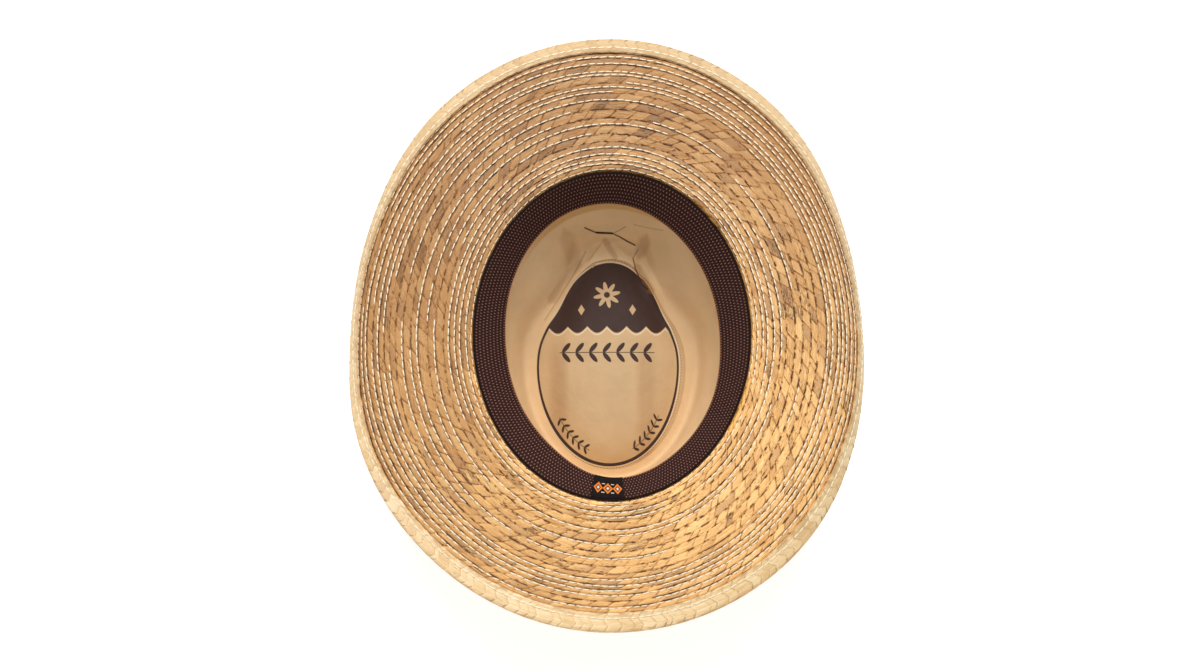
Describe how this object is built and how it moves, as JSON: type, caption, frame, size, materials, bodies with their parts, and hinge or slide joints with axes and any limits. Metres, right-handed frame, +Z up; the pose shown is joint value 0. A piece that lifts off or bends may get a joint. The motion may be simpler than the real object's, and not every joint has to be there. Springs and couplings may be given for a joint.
{
  "type": "wide-brim palm straw fedora",
  "caption": "Wide-brim fedora of sewn palm braid with a teardrop crown, front pinches, woven sweatband and satin lining, lying upside down on its crown.",
  "frame": {"origin": "bottom centre of the hat's box, on the surface it lies on", "axes": "+Z up and out of the head hole, +Y towards the front of the hat, +X to the right in the picture"},
  "size_m": [0.323, 0.3662, 0.1256],
  "materials": {
    "palm_braid": "toasted palm leaf braid, matte with a soft sheen",
    "light_palm_braid": "light palm leaf braid, matte with a soft sheen",
    "woven_ribbon": "dark brown woven ribbon, matte",
    "label_weave": "black woven label, matte",
    "satin_lining": "tan satin, soft sheen"
  },
  "bodies": {
    "root": {"crown": "palm_braid", "brim": "palm_braid", "edge_braid": "light_palm_braid", "sweatband": "woven_ribbon", "label": "label_weave", "lining_wall": "satin_lining", "lining_tip": "satin_lining"}
  },
  "joints": []
}
